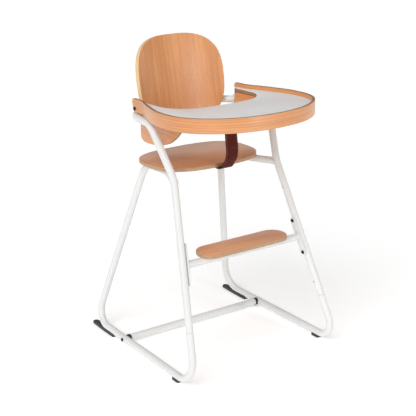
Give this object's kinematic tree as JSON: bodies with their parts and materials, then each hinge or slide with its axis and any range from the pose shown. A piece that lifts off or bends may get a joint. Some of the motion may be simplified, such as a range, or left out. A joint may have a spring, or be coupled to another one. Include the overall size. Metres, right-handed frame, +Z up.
{
  "type": "baby high chair",
  "caption": "Baby high chair with a bent steel tube frame, plywood seat, curved backrest, rimmed U-shaped tray, side guards, strap and adjustable footrest.",
  "frame": {"origin": "the floor under the middle of the chair's footprint", "axes": "+Z up, -Y the way the child faces, X across the chair"},
  "size_m": [0.5494, 0.6034, 0.9251],
  "materials": {
    "white_powder_coat": "semi-gloss white powder coat",
    "beech_plywood": "satin clear lacquer on beech veneer",
    "grey_laminate": "satin pale grey laminate",
    "black_plastic": "matt black moulded plastic",
    "black_steel": "black coated steel fastener",
    "brown_leather": "dark brown leather with stitched edges"
  },
  "bodies": {
    "frame": {"backrest_bolt_left_1": "black_steel", "backrest_bolt_left_2": "black_steel", "backrest_bolt_right_1": "black_steel", "backrest_bolt_right_2": "black_steel", "backrest_bracket_left": "white_powder_coat", "backrest_bracket_right": "white_powder_coat", "backrest_shell": "beech_plywood", "cross_bar": "white_powder_coat", "cross_bar_bolt_left": "black_steel", "cross_bar_bolt_right": "black_steel", "cross_bar_spacer_left": "black_plastic", "cross_bar_spacer_right": "black_plastic", "crotch_strap": "brown_leather", "front_glide_left": "black_plastic", "front_glide_right": "black_plastic", "leg_sleeve_left": "white_powder_coat", "leg_sleeve_right": "white_powder_coat", "rear_foot_left": "black_plastic", "rear_foot_right": "black_plastic", "seat_board": "beech_plywood", "seat_screw_back_left": "black_steel", "seat_screw_back_right": "black_steel", "seat_screw_front_left": "black_steel", "seat_screw_front_right": "black_steel", "side_loop_left": "white_powder_coat", "side_loop_right": "white_powder_coat", "strap_snap_cap": "black_steel", "strap_stud": "black_steel", "tray_lug_left": "white_powder_coat", "tray_lug_right": "white_powder_coat", "tray_pivot_bolt_left": "black_steel", "tray_pivot_bolt_right": "black_steel", "upper_frame": "white_powder_coat"},
    "tray": {"side_guard_left": "beech_plywood", "side_guard_right": "beech_plywood", "strap_snap_post": "black_steel", "tray_board": "beech_plywood", "tray_laminate": "grey_laminate", "tray_rim": "beech_plywood"},
    "footrest": {"footrest_board": "beech_plywood", "footrest_bolt_left_1": "black_steel", "footrest_bolt_left_2": "black_steel", "footrest_bolt_right_1": "black_steel", "footrest_bolt_right_2": "black_steel", "footrest_bracket_left": "white_powder_coat", "footrest_bracket_right": "white_powder_coat", "footrest_screw_left": "black_steel", "footrest_screw_right": "black_steel", "footrest_tube": "white_powder_coat"}
  },
  "joints": [
    {"name": "tray_hinge", "type": "hinge", "parent": "frame", "child": "tray", "pos_m": [0, 0.131, 0.735], "axis": [-1, 0, 0], "range_deg": [0, 80]},
    {"name": "footrest_height", "type": "slide", "parent": "frame", "child": "footrest", "axis": [0, -0.371, -0.9286], "range_m": [0, 0.1017]}
  ]
}
